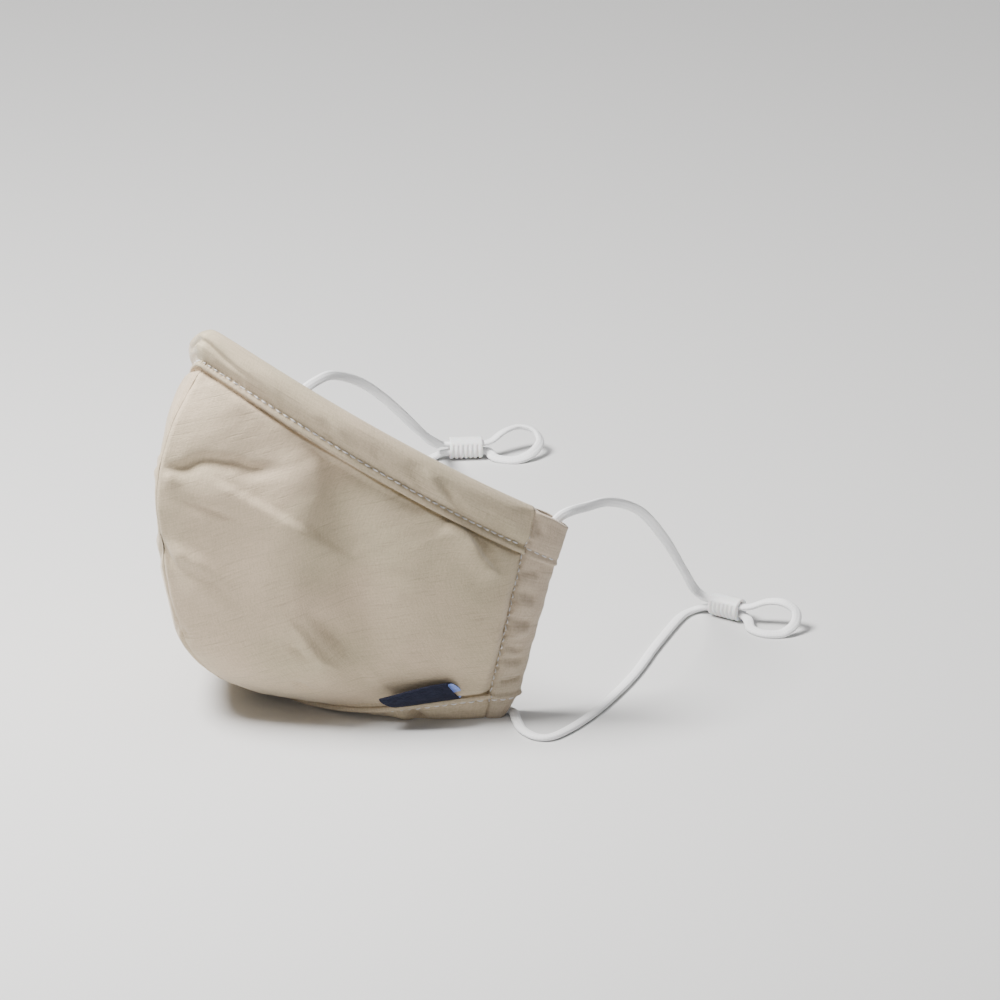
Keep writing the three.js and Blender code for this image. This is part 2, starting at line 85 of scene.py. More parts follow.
# Folds of a panel. A fold runs through places (across, up) on the panel, and it has one width
# on the left of its way, seen from outside, and another on the right. It fades in and out
# over shares of its length. A negative height is a crease.
# name, places, left width, right width, height in mm, fade in, fade out
FOLDS = [
    ("edge_ridge", [(0.52, 0.96), (0.56, 0.84), (0.54, 0.65), (0.49, 0.35)],
     4.5, 13, 2.3, 0.3, 0.5),
    ("band_dent", [(0.73, 1.0), (0.775, 0.96), (0.8, 0.87)], 3, 5, -1.4, 0, 0.6),
    ("tip_crease", [(0.0, 0.742), (0.16, 0.756), (0.24, 0.793), (0.34, 0.816), (0.4, 0.823),
                    (0.5, 0.88)], 1.8, 2.8, -2.4, 0.2, 0.25),
    ("tip_bump", [(0.04, 0.716), (0.13, 0.736), (0.22, 0.749)], 2.2, 3.2, 2.0, 0.4, 0.6),
    ("cheek_line", [(0.235, 0.763), (0.32, 0.756), (0.43, 0.746), (0.54, 0.726), (0.635, 0.676),
                    (0.75, 0.595)], 1.5, 6, 1.7, 0.3, 0.4),
    ("under_tip", [(0.03, 0.696), (0.22, 0.689), (0.34, 0.692), (0.43, 0.682)],
     2, 2.6, -1.3, 0.4, 0.5),
    ("v_ridge", [(0.845, 0.973), (0.88, 0.93), (0.913, 0.863), (0.962, 0.789)],
     0.9, 4.5, 2.9, 0.1, 0.25),
    ("v_valley", [(0.864, 1.0), (0.913, 0.93), (0.95, 0.83)], 2.4, 1.8, -3.0, 0, 0.5),
    ("v_dent", [(0.839, 1.0), (0.849, 0.913)], 1.8, 1.8, -1.5, 0, 0.7),
    ("low_ridge", [(0.48, 0.472), (0.527, 0.408), (0.557, 0.36), (0.575, 0.31), (0.616, 0.217)],
     1.1, 5.5, 2.3, 0.4, 0.4),
    ("low_valley", [(0.547, 0.505), (0.591, 0.425), (0.626, 0.35), (0.64, 0.23)],
     4.2, 2.4, -2.3, 0.4, 0.4),
    ("low_dent", [(0.486, 0.395), (0.547, 0.3)], 2, 2, -1.3, 0.5, 0.5),
    ("label_swell", [(0.66, 0.28), (0.716, 0.13)], 2.5, 2.5, 0.9, 0.5, 0.4),
    ("seam_crease", [(0.02, 0.605), (0.053, 0.575), (0.091, 0.548), (0.153, 0.515)],
     1.1, 1.6, -1.7, 0.6, 0.4),
    ("seam_swell", [(0.06, 0.592), (0.19, 0.572), (0.28, 0.552), (0.4, 0.488)],
     1.8, 4.4, 2.0, 0.3, 0.5),
    ("seam_swell_low", [(0.12, 0.522), (0.263, 0.488), (0.4, 0.42)], 2.4, 5, 1.4, 0.4, 0.5),
    ("chin_crease", [(0.045, 0.388), (0.09, 0.338)], 1.2, 1.2, -1.0, 0.5, 0.5),
    ("hem_crease", [(0.455, 0.247), (0.468, 0.137)], 2, 1.8, -1.2, 0.5, 0.5),
]

# Broad swells and hollows of a panel: name, place (across, up), half width and half height
# in mm, turn from level in degrees, and height in mm.
SWELLS = [
    ("cheek_hollow", (0.66, 0.69), 12, 46, 6, -5.2),
    ("low_hollow", (0.66, 0.395), 10, 16, 10, -2.0),
    ("rear_swell", (0.94, 0.61), 17, 40, 8, 4.2),
    ("nose_swell", (0.24, 0.92), 13, 16, -30, 2.6),
    ("band_hollow", (0.603, 0.91), 9, 8, 0, -1.5),
    ("mouth_hollow", (0.368, 0.63), 14, 9, -25, -1.6),
]


# ---- the mask's base surface, on the wearer's left ----
def catmull_rom(before, low, high, after, t):
    """A point between low and high on a Catmull-Rom curve, at t from 0 to 1."""
    rise = t**2 * (3 - 2 * t)
    leave = (t - 1) ** 2 * t * 0.5 * (high - before)
    arrive = (t - 1) * t**2 * 0.5 * (after - low)
    return (1 - rise) * low + rise * high + leave + arrive


def curve_through(points):
    """A Catmull-Rom curve whose points are evenly spaced in its parameter, from 0 to 1."""
    points = np.asarray(points, float)
    padded = np.vstack([2 * points[0] - points[1], points, 2 * points[-1] - points[-2]])
    count = len(points)

    def at(share):
        place = np.clip(share, 0, 1) * (count - 1)
        index = np.minimum(place.astype(int), count - 2)
        corners = (padded[index + step] for step in range(4))
        return catmull_rom(*corners, (place - index)[..., None])

    return at


seam_curve = curve_through([(0, FRONT_OFFSET - row[1], row[2]) for row in SECTIONS])
front_curve = curve_through([(row[3], FRONT_OFFSET - row[1] + row[4], row[2]) for row in SECTIONS])
cheek_curve = curve_through([(row[5], FRONT_OFFSET - row[6], row[7]) for row in SECTIONS])


def mix(low, high, share):
    return low + (high - low) * share


def smooth_step(low, high, value):
    share = np.clip((value - low) / (high - low), 0, 1)
    return share * share * (3 - 2 * share)


def bell(value, width):
    return np.exp(-((value / width) ** 2))


def rear_point(up):
    half_width = mix(CASING_BOTTOM_HALF_WIDTH, CASING_TOP_HALF_WIDTH, up)
    back = FRONT_OFFSET + CASING_FOOT + CASING_LEAN * up
    return np.stack([half_width, back, mix(CASING_START, CASING_HEIGHT, up)], -1)


def surface(across, up):
    """across: 0 at the centre seam, 1 at the rear edge. up: 0 at the hem, 1 at the top edge."""
    across, up = np.broadcast_arrays(np.asarray(across, float), np.asarray(up, float))
    inner = 1 - across
    weights = (inner**3, 3 * inner**2 * across, 3 * inner * across**2, across**3)
    curves = (seam_curve(up), front_curve(up), cheek_curve(up), rear_point(up))
    return sum(weight[..., None] * curve for weight, curve in zip(weights, curves))


# the small step that the surface's slopes are taken over
STEP = 0.002


def along_across(across, up):
    """How far a step in across goes, in mm for all of it."""
    low, high = np.maximum(across - STEP, 0), np.minimum(across + STEP, 1)
    return (surface(high, up) - surface(low, up)) / (high - low)[..., None]


def along_up(across, up):
    low, high = np.maximum(up - STEP, 0), np.minimum(up + STEP, 1)
    return (surface(across, high) - surface(across, low)) / (high - low)[..., None]


def length(vectors):
    return np.linalg.norm(vectors, axis=-1)


def unit(vectors):
    return vectors / np.maximum(length(vectors), 1e-9)[..., None]


def outward(across, up):
    return unit(np.cross(along_across(across, up), along_up(across, up)))


def up_below_top(across, depth):
    return 1 - depth / length(along_up(across, np.ones_like(across)))


def up_above_hem(across, height):
    return height / length(along_up(across, np.zeros_like(across)))


def across_from_rear(up, inset):
    return 1 - inset / length(along_across(np.ones_like(up), up))


def band_scale(across):
    return mix(NOSE_BAND_SHARE, 1, across)


def casing_width(up):
    return mix(CASING_BOTTOM_WIDTH, CASING_TOP_WIDTH, up)


# ---- noise ----
def lattice_noise(x, y, seed):
    """Smooth noise from -1 to 1 with features about one unit across."""
    draws = np.random.default_rng(seed).uniform(-1, 1, (64, 64))
    column, row = np.floor(x).astype(int), np.floor(y).astype(int)
    fx, fy = x - column, y - row
    fx, fy = fx * fx * (3 - 2 * fx), fy * fy * (3 - 2 * fy)

    def corner(dx, dy):
        return draws[(row + dy) % 64, (column + dx) % 64]

    low = mix(corner(0, 0), corner(1, 0), fx)
    high = mix(corner(0, 1), corner(1, 1), fx)
    return mix(low, high, fy)


def ripple(place, pitch, seed):
    """Uneven waves along a seam, from about -1 to 1; the pitch is in mm."""
    return lattice_noise(place / (pitch * 0.5), np.full_like(place, 0.5 + seed), SEED + seed)


# ---- meshes ----
def grid_faces(rows, columns, start=0, closed=False, flip=False, joined=False):
    """The faces of a grid; closed joins its columns into rings, joined its last row to its first."""
    faces = []
    for row in range(rows if joined else rows - 1):
        for column in range(columns if closed else columns - 1):
            after = (column + 1) % columns
            low, high = start + row * columns, start + (row + 1) % rows * columns
            face = (low + column, low + after, high + after, high + column)
            faces.append(face[::-1] if flip else face)
    return faces


def tube_faces(rows, columns, start=0):
    """The faces of a tube with closed ends."""
    first = tuple(start + column for column in range(columns))
    last = tuple(place + (rows - 1) * columns for place in first)
    return grid_faces(rows, columns, start, closed=True) + [first[::-1], last]


def lengths_along(points, axis):
    """Distance in mm along an axis of a grid of points, from its first line."""
    steps = length(np.diff(points, axis=axis))
    start = np.zeros_like(np.take(steps, [0], axis=axis))
    return np.cumsum(np.concatenate([start, steps], axis=axis), axis=axis)


def grid_map(points):
    """Cloth coordinates of a grid of points in mm: along its rows and up its columns."""
    return np.stack([lengths_along(points, 1), lengths_along(points, 0)], -1)


def add_object(name, data):
    added = bpy.data.objects.new(name, data)
    bpy.context.scene.collection.objects.link(added)
    return added


def make_piece(name, points, faces, cloth, materials, slot, nodes=(), face_materials=None):
    """A piece of the mask from points in mm, kept above the surface that the mask stands on."""
    mesh = bpy.data.meshes.new(name)
    points = np.asarray(points, float).reshape(-1, 3) * MM
    points[:, 2] = np.maximum(points[:, 2], 0)
    mesh.from_pydata(points.tolist(), [], [tuple(int(i) for i in face) for face in faces])
    mesh.validate()
    layer = mesh.uv_layers.new(name="cloth")
    loop_points = np.empty(len(mesh.loops), int)
    mesh.loops.foreach_get("vertex_index", loop_points)
    cloth = np.asarray(cloth, float).reshape(-1, 2)[loop_points]
    layer.data.foreach_set("uv", cloth.ravel() * MM)
    for material in materials:
        mesh.materials.append(material)
    if face_materials is not None:
        mesh.polygons.foreach_set("material_index", np.asarray(face_materials, np.int32))
    mesh.polygons.foreach_set("use_smooth", np.ones(len(mesh.polygons), bool))
    mesh.update()
    piece = add_object(name, mesh)
    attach(piece, "root")
    if nodes:
        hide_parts(*nodes)
    return piece


def turned(points):
    """The same points on the wearer's other side."""
    return points * np.array([-1, 1, 1])


def outward_faces(points, faces):
    """The faces, turned over if they enclose a negative volume."""
    points = np.asarray(points).reshape(-1, 3)
    corners = np.array([[face[0], face[1], face[2], face[3 % len(face)]] for face in faces])
    a, b, c, d = (points[corners[:, k]] for k in range(4))
    volume = (a * (np.cross(b, c) + np.cross(c, d))).sum()
    return faces if volume > 0 else [face[::-1] for face in faces]


# ---- materials ----
class Nodes:
    """A short way to write a material's nodes."""

    def __init__(self, name):
        self.material = bpy.data.materials.new(name)
        self.material.use_nodes = True
        self.tree = self.material.node_tree
        self.shader = self.tree.nodes["Principled BSDF"]

    def put(self, socket, value):
        """Links another node's output to a socket, or gives the socket a value of its own."""
        if isinstance(value, bpy.types.NodeSocket):
            self.tree.links.new(value, socket)
        else:
            socket.default_value = value

    def add(self, kind, inputs=(), **settings):
        node = self.tree.nodes.new(kind)
        for key, value in settings.items():
            setattr(node, key, value)
        for key, value in dict(inputs).items():
            self.put(node.inputs[key], value)
        return node

    def math(self, operation, a, b=0.0):
        return self.add("ShaderNodeMath", {0: a, 1: b}, operation=operation).outputs[0]

    def cloth_noise(self, scale, detail=2.0, roughness=0.5):
        """Noise in cloth coordinates; scale is how many features a metre holds, along and up."""
        where = self.add("ShaderNodeUVMap", uv_map="cloth").outputs[0]
        mapping = self.add("ShaderNodeMapping", {"Vector": where, "Scale": (*scale, 1)})
        inputs = {"Vector": mapping.outputs[0], "Scale": 1.0, "Detail": detail,
                  "Roughness": roughness}
        return self.add("ShaderNodeTexNoise", inputs, noise_dimensions="2D").outputs[0]

    def remap(self, value, low, high, to_low, to_high):
        inputs = {"Value": value, "From Min": low, "From Max": high, "To Min": to_low,
                  "To Max": to_high}
        return self.add("ShaderNodeMapRange", inputs).outputs[0]

    def mix_colour(self, factor, a, b, blend="MIX"):
        node = self.add("ShaderNodeMix", data_type="RGBA", blend_type=blend)
        for key, value in (("Factor_Float", factor), ("A_Color", a), ("B_Color", b)):
            self.put(next(s for s in node.inputs if s.identifier == key), value)
        return next(s for s in node.outputs if s.identifier == "Result_Color")

    def bump(self, height, distance, strength=1.0):
        inputs = {"Height": height, "Distance": distance, "Strength": strength}
        return self.add("ShaderNodeBump", inputs).outputs[0]

    def set(self, **inputs):
        for key, value in inputs.items():
            self.put(self.shader.inputs[key.replace("_", " ")], value)
        return self.material


def cotton(name, warm, cool):
    """Plain slubby cotton: warm and cool are its two tints."""
    nodes = Nodes(name)
    patches = nodes.remap(nodes.cloth_noise((22, 26)), 0.35, 0.65, 0, 1)
    weft = nodes.cloth_noise((110, 2300), 3)
    warp = nodes.cloth_noise((2700, 190), 3)
    grain = nodes.cloth_noise((1500, 1500), 2, 0.7)
    slub = nodes.remap(nodes.cloth_noise((60, 1100), 1), 0.64, 0.76, 0, 1)
    threads = nodes.math("ADD", nodes.math("ADD", weft, warp), nodes.math("MULTIPLY", grain, 1.6))
    shade = nodes.remap(threads, 1.4, 2.2, 0.89, 1.08)
    shade = nodes.math("MULTIPLY", shade, nodes.remap(slub, 0, 1, 1, 0.9))
    tint = nodes.mix_colour(patches, warm, cool)
    grey = nodes.add("ShaderNodeCombineColor", {0: shade, 1: shade, 2: shade}).outputs[0]
    colour = nodes.mix_colour(1.0, tint, grey, "MULTIPLY")
    rough = nodes.remap(threads, 1.4, 2.2, 0.92, 0.78)
    height = nodes.math("SUBTRACT", threads, nodes.math("MULTIPLY", slub, 0.6))
    normal = nodes.bump(height, 0.00012, 0.55)
    return nodes.set(Base_Color=colour, Roughness=rough, Normal=normal, Sheen_Weight=0.25,
                     Sheen_Roughness=0.45, Specular_IOR_Level=0.25)


def thread(name, colour):
    nodes = Nodes(name)
    twist = nodes.cloth_noise((3500, 900), 2)
    shade = nodes.mix_colour(twist, colour, tuple(0.8 * c for c in colour[:3]) + (1,))
    return nodes.set(Base_Color=shade, Roughness=0.6, Normal=nodes.bump(twist, 0.0001, 0.5),
                     Specular_IOR_Level=0.35)


def ribbon(name, colour, light):
    """A woven satin ribbon with fine ribs across it."""
    nodes = Nodes(name)
    ribs = nodes.cloth_noise((300, 4200), 2)
    grain = nodes.cloth_noise((2200, 900), 2)
    both = nodes.math("ADD", ribs, nodes.math("MULTIPLY", grain, 0.6))
    shade = nodes.mix_colour(nodes.remap(both, 0.6, 1.0, 0, 1), colour, light)
    return nodes.set(Base_Color=shade, Roughness=0.75, Normal=nodes.bump(both, 0.0001, 0.5),
                     Sheen_Weight=0.02, Sheen_Roughness=0.4, Specular_IOR_Level=0.15)


def knitted_elastic(name):
    nodes = Nodes(name)
    where = nodes.add("ShaderNodeUVMap", uv_map="cloth").outputs[0]
    parts = nodes.add("ShaderNodeSeparateXYZ", {0: where})
    around, along = parts.outputs[0], parts.outputs[1]
    ribs = nodes.math("SINE", nodes.math("MULTIPLY", around, 2 * math.pi / 0.00075))
    slant = nodes.math("ADD", along, nodes.math("MULTIPLY", ribs, 0.00012))
    loops = nodes.math("SINE", nodes.math("MULTIPLY", slant, 2 * math.pi / 0.0009))
    fuzz = nodes.cloth_noise((1400, 1400), 3, 0.6)
    knit = nodes.math("ADD", nodes.math("ADD", nodes.math("MULTIPLY", ribs, 0.35),
                                        nodes.math("MULTIPLY", loops, 0.3)), fuzz)
    yarn = nodes.remap(knit, -0.2, 1.2, 0, 1)
    shade = nodes.mix_colour(yarn, (0.84, 0.845, 0.86, 1), (0.95, 0.95, 0.955, 1))
    return nodes.set(Base_Color=shade, Roughness=0.85, Normal=nodes.bump(knit, 0.00012, 0.5),
                     Sheen_Weight=0.2, Sheen_Roughness=0.4, Specular_IOR_Level=0.25)


def silicone_rubber(name):
    nodes = Nodes(name)
    where = nodes.add("ShaderNodeTexCoord").outputs["Object"]
    noise = {"Vector": where, "Scale": 900.0, "Detail": 2.0}
    dust = nodes.add("ShaderNodeTexNoise", noise).outputs[0]
    shade = nodes.mix_colour(dust, (0.82, 0.82, 0.82, 1), (0.9, 0.9, 0.9, 1))
    rough = nodes.remap(dust, 0.3, 0.7, 0.34, 0.5)
    return nodes.set(Base_Color=shade, Roughness=rough, Normal=nodes.bump(dust, 0.00003, 0.3),
                     Subsurface_Weight=0.15, Subsurface_Scale=0.002, Specular_IOR_Level=0.45)


panel_cloth = cotton("cotton_panel", (0.55, 0.442, 0.318, 1), (0.49, 0.41, 0.285, 1))
band_cloth = cotton("cotton_band", (0.53, 0.43, 0.31, 1), (0.47, 0.4, 0.28, 1))
# The casings' cotton is the panel's cloth tinted about a tenth darker: painted shade for the casings,
# whose sides turn away from the light.
casing_cloth_painted_shade = cotton("cotton_casing_painted_shade", (0.485, 0.395, 0.302, 1), (0.45, 0.378, 0.28, 1))
stitch_thread = thread("stitch_thread", (0.74, 0.73, 0.73, 1))
label_outside = ribbon("label_navy", (0.008, 0.009, 0.020, 1), (0.019, 0.022, 0.042, 1))
label_inside = ribbon("label_blue", (0.24, 0.34, 0.78, 1), (0.34, 0.45, 0.88, 1))
elastic = knitted_elastic("white_elastic")
silicone = silicone_rubber("white_silicone")


# ---- panels ----
# shares of a panel's width and height where its mesh has lines
PANEL_ACROSS = np.concatenate([np.linspace(0, 0.03, 9)[:-1], np.linspace(0.03, 1, 186)])
PANEL_UP = np.concatenate([np.linspace(0, 0.05, 16)[:-1], np.linspace(0.05, 0.93, 132)[:-1],
                           np.linspace(0.93, 1, 28)])
# how far each half stays off the seam's plane, in mm
SEAM_CLEARANCE = 0.06
# the cloth's small wrinkles: height, width and tallness in mm
WRINKLES = [(0.30, 17, 11), (0.14, 8, 5), (0.06, 3.4, 2.6)]


def panel_place(across_share, up_share):
    """The place on the base surface of a share of the panel between its seam, casing and edges."""
    up, across = up_share.copy(), across_share.copy()
    for _ in range(4):
        across = across_share * across_from_rear(up, casing_width(up) - 0.6)
        top = up_below_top(across, BAND_LAP * band_scale(across))
        up = mix(up_above_hem(across, HEM_LAP), top, up_share)
    return across, up


def fold_heights(points, normals, rows, place):
    """The sum of the folds at the points; place turns one of a fold's places into a position."""
    heights = np.zeros(points.shape[:-1])
    for _, places, left, right, height, fade_in, fade_out in rows:
        line = curve_through([place(*spot) for spot in places])(np.linspace(0, 1, 5 * len(places)))
        nearest = np.full_like(heights, np.inf)
        side, share = np.zeros_like(heights), np.zeros_like(heights)
        for index in range(len(line) - 1):
            way = line[index + 1] - line[index]
            along = np.clip((points - line[index]) @ way / (way @ way), 0, 1)
            apart = points - line[index] - along[..., None] * way
            away = length(apart)
            closer = away < nearest
            nearest = np.where(closer, away, nearest)
            side = np.where(closer, (np.cross(way, apart) * normals).sum(-1), side)
            share = np.where(closer, (index + along) / (len(line) - 1), share)
        fade = smooth_step(0, max(fade_in, 1e-6), share)
        fade *= smooth_step(0, max(fade_out, 1e-6), 1 - share)
        heights += height * bell(nearest, np.where(side > 0, left, right)) * fade
    return heights


def flat_spot(x, y):
    return np.array([x, y, 0.0])


def flat_folds(x, y, rows):
    """Folds drawn on a flat strip, with places (x, y) in mm."""
    points = np.stack([x, y, np.zeros_like(x)], -1)
    return fold_heights(points, np.array([0.0, 0.0, 1.0]), rows, flat_spot)


# how far in mm along its normal a swell still reaches
SWELL_REACH = 40


def swell_heights(points, rows, place):
    """The sum of the broad swells and hollows at the points of a panel."""
    heights = np.zeros(points.shape[:-1])
    for _, spot, half_width, half_height, turn, height in rows:
        centre, normal = place(*spot)
        level = unit(np.cross([0, 0, 1], normal))
        uphill = np.cross(normal, level)
        cos, sin = math.cos(math.radians(turn)), math.sin(math.radians(turn))
        apart = points - centre
        along = apart @ (cos * level + sin * uphill) / half_width
        across = apart @ (cos * uphill - sin * level) / half_height
        heights += height * np.exp(-along**2 - across**2 - (apart @ normal / SWELL_REACH) ** 2)
    return heights


def panel_spot(across_share, up_share):
    """A position on a panel's base surface, and the direction outwards there."""
    place = panel_place(np.array([float(across_share)]), np.array([float(up_share)]))
    return surface(*place)[0], outward(*place)[0]


def panel_point(across_share, up_share):
    return panel_spot(across_share, up_share)[0]


def panel_heights(side, seed, base, normal, cloth):
    """How far a panel's outer and inner faces lie off the base surface."""
    from_seam = cloth[..., 0]
    to_casing = cloth[:, -1:, 0] - from_seam
    to_hem = cloth[..., 1]
    to_band = cloth[-1:, :, 1] - to_hem

    # The cloth is held flat along its sewn edges, and raised folds end short of the flap edges.
    calm = smooth_step(0, 6, to_band) * smooth_step(0, 5, to_hem) * smooth_step(0, 5, to_casing)
    folds = fold_heights(base, normal, FOLDS, panel_point)
    clear_of_edges = smooth_step(2.2, 7, to_band) * smooth_step(1.5, 5, to_hem)
    folds = np.where(folds > 0, folds * clear_of_edges, folds * (0.3 + 0.7 * calm))
    # On the wearer's right the folds near the seam are half as high.
    if side == "right":
        folds *= 1 - 0.5 * smooth_step(0, 4, from_seam) * smooth_step(30, 14, from_seam)
    folds += swell_heights(base, SWELLS, panel_spot) * calm
    wrinkles = sum(height * lattice_noise(from_seam / wide, to_hem / tall, seed + index)
                   for index, (height, wide, tall) in enumerate(WRINKLES))
    # puckers along the seam, the casing, the band and the hem, which die away from them
    puckers = (0.30 * ripple(to_hem, 6.5, seed + 3) * np.exp(-from_seam / 5)
               + 0.42 * ripple(to_hem, 4.4, seed + 4) * np.exp(-to_casing / 4.5)
               + 0.30 * ripple(from_seam, 8, seed + 5) * np.exp(-to_band / 6)
               + 0.26 * ripple(from_seam, 7, seed + 6) * np.exp(-to_hem / 6))
    seam_roll = -1.0 * bell(from_seam, 0.9)
    casing_dip = -0.7 * bell(to_casing, 1.1)
    band_dip = -1.1 * bell(to_band - 2.9, 0.6)
    hem_dip = -0.8 * bell(to_hem - 2.5, 0.5)
    outer = folds + wrinkles * calm + puckers + seam_roll + casing_dip + band_dip + hem_dip
    inner = np.minimum(0.5 * folds * calm - CLOTH, outer - 0.5)
    return outer, inner


def make_panel(side, seed):
    """A closed shell: the outer face, the inner face and a strip all round that joins them."""
    across, up = panel_place(*np.meshgrid(PANEL_ACROSS, PANEL_UP))
    base = surface(across, up)
    normal = outward(across, up)
    cloth = grid_map(base)
    outer, inner = panel_heights(side, seed, base, normal, cloth)
    points = np.concatenate([(base + normal * height[..., None]).reshape(-1, 3)
                             for height in (outer, inner)])
    points[:, 0] = np.maximum(points[:, 0], SEAM_CLEARANCE)

    rows, columns = across.shape
    count = rows * columns
    faces = grid_faces(rows, columns) + grid_faces(rows, columns, count, flip=True)
    index = np.arange(count).reshape(rows, columns)
    border = [*index[0, :-1], *index[:-1, -1], *index[-1, :0:-1], *index[:0:-1, 0]]
    for corner, after in zip(border, border[1:] + border[:1]):
        faces.append((after, corner, corner + count, after + count))
    cloth = np.concatenate([cloth.reshape(-1, 2)] * 2)
    if side == "right":
        points = turned(points)
    name = f"{side}_panel"
    return make_piece(f"{name}_cloth", points, outward_faces(points, faces), cloth,
                      [panel_cloth], "cotton", [name])


# ---- nose band and chin hem ----
# depth from the mask's edge into the panel, and rise outwards, in mm
BAND_PROFILE = [
    (12.3, -0.4), (12.9, 0.2), (14.6, -0.1), (15.1, 0.3), (15.15, 1.1), (14.5, 1.5), (13.6, 1.25),
    (12.9, 0.5), (12.45, 0.3), (12.05, 0.5), (11.3, 1.2), (9.8, 2.6), (7.4, 3.75), (5, 4.1),
    (2.4, 3.65), (0.5, 2.5), (-0.6, 1.1), (-0.9, 0), (-0.5, -1.1), (0.8, -1.85), (3.5, -1.95), (7, -1.9),
    (10.5, -1.75), (12.2, -1.3),
]
HEM_PROFILE = [
    (6.2, -0.4), (6.8, 0.25), (8.1, -0.1), (8.6, 0.4), (8.55, 1.2), (7.9, 1.6), (7.2, 1.2),
    (6.75, 0.5), (6.2, 0.75), (5.2, 1.15), (3.2, 1.35), (1.4, 1.3), (-0.1, 0.9), (-0.7, -0.1),
    (-0.35, -1.1), (0.9, -1.55), (3.4, -1.6), (5.6, -1.45), (6.15, -1.1),
]
BAND_STITCH_DEPTH = 12.75
HEM_STITCH_DEPTH = 6.65
EDGE_STITCH_RISE = 0.6
STITCH_PITCH = 2.9
STITCH_LENGTH = 2.25


def closed_profile(points, count):
    """Evenly spaced points round a closed Catmull-Rom curve."""
    points = np.asarray(points, float)
    ring = np.vstack([points[-1], points, points[0], points[1]])
    dense = []
    for index in range(len(points)):
        for t in np.linspace(0, 1, 12, endpoint=False):
            dense.append(catmull_rom(*ring[index:index + 4], t))
    dense = np.array(dense + [dense[0]])
    travelled = lengths_along(dense, 0)
    places = np.linspace(0, travelled[-1], count, endpoint=False)
    return np.stack([np.interp(places, travelled, dense[:, k]) for k in range(2)], -1)


def up_from_edge(edge_up, across, reach):
    """Where a line lies that is reach mm in from the top edge (edge_up 1) or the hem (0)."""
    return up_below_top(across, reach) if edge_up == 1 else up_above_hem(across, reach)


def edge_place(share, edge_up, depth):
    """The place on the base surface of a share of the way from the seam to the casing."""
    across, up = share.copy(), share.copy()
    reach = np.maximum(depth, 0)
    for _ in range(4):
        scale = band_scale(across) if edge_up == 1 else 1
        up = up_from_edge(edge_up, across, reach * scale)
        across = share * across_from_rear(up, casing_width(up) - 0.3)
    return across, up


def edge_points(share, edge_up, depth, rise):
    """Points off an edge's base surface; a negative depth goes on past the mask's edge."""
    across, up = edge_place(share, edge_up, depth)
    points = surface(across, up) + outward(across, up) * rise[..., None]
    sign = 1 if edge_up == 1 else -1
    overshoot = np.maximum(-depth, 0)[..., None]
    return points + unit(along_up(across, up)) * overshoot * sign


def edge_length(edge_up):
    shares = np.linspace(0, 1, 200)
    depth = np.zeros(200)
    return lengths_along(edge_points(shares, edge_up, depth, depth), 0)[-1]


def straight(name, start, end, width, height, fade_in=0.3, fade_out=0.3):
    """A row of a fold table, for a straight pucker with even sides."""
    return name, [start, end], width, width, height, fade_in, fade_out


# Puckers of the nose band: name, start and end as places along the half band and depths,
# width and height in mm, and fades. The hollow above the stitches is a row of FOLDS' kind.
BAND_PUCKERS = [
    ("lower_hollow", [(14, 10.8), (40, 10.4), (100, 10.4)], 1.6, 1.2, -0.5, 0.2, 0.3),
    straight("cheek_fold_1", (47, 4), (52, 12), 1.8, -0.35, 0.6, 0.2),
    straight("cheek_fold_2", (62, 4), (68, 12), 2.0, -0.6, 0.6, 0.2),
    straight("cheek_ridge_2", (66, 4), (72, 11), 1.8, 0.4, 0.6, 0.2),
    straight("cheek_fold_3", (78, 4), (83, 12), 1.6, -0.7, 0.6, 0.2),
    straight("rear_fold_1", (88, 3), (93, 12), 1.8, -1.1, 0.5, 0.2),
    straight("rear_ridge", (92, 2), (98, 11), 1.8, 0.7, 0.4, 0.3),
    straight("rear_fold_2", (96, 3), (104, 12), 1.5, -1.5, 0.4, 0.2),
    straight("rear_fold_3", (109, 5), (113, 12), 1.8, -0.7),
]


def stitch_dips(place, depth, stitch_depth, width):
    """The cloth's waves along the stitches of an edge, from -1 to 1."""
    return np.cos(2 * np.pi * place / STITCH_PITCH) * bell(depth - stitch_depth, width)


def band_heights(place, share, depth):
    """Extra rise of the nose band's outer face."""
    outer = smooth_step(-0.6, 1.5, depth)
    groove_depth = 4.7 + 3 * smooth_step(0.0, 0.3, share)
    groove = -1.4 * bell(depth - groove_depth, 1.3) * (1 - smooth_step(0.12, 0.42, share))
    to_casing = edge_length(1) * (1 - share)
    pinch = -1.9 * bell(to_casing, 3.2) * bell(depth - 4.5, 4.5)
    folds = flat_folds(place, depth, BAND_PUCKERS)
    between = smooth_step(BAND_STITCH_DEPTH, BAND_STITCH_DEPTH - 3, depth)
    uneven = 0.3 * lattice_noise(place / 11, depth / 6, SEED + 40) * between
    small = 0.22 * ripple(place - 0.4 * depth, 5.5, 41) * bell(depth - 10.5, 2.2)
    dips = 0.22 * stitch_dips(place, depth, BAND_STITCH_DEPTH, 0.8)
    return (groove + pinch + folds * between + uneven + small + dips) * outer


# Creases of the chin hem, in the same way as the nose band's puckers.
HEM_PUCKERS = [
    straight("notch", (53, -1), (51, 6.4), 1.4, -1.9, 0.3, 0.2),
    straight("notch_swell", (49, 0), (47.6, 5.5), 2.2, 0.9),
    straight("rear_crease", (63, 1), (61, 6), 1.6, -0.4),
]


def hem_heights(place, _, depth):
    """Extra rise of the chin hem's outer face."""
    outer = smooth_step(-0.4, 1.2, depth)
    folds = flat_folds(place, depth, HEM_PUCKERS)
    small = 0.16 * ripple(place, 5, 43) * bell(depth - 4.5, 2.5)
    dips = 0.16 * stitch_dips(place, depth, HEM_STITCH_DEPTH, 0.7)
    return (folds + small + dips) * outer


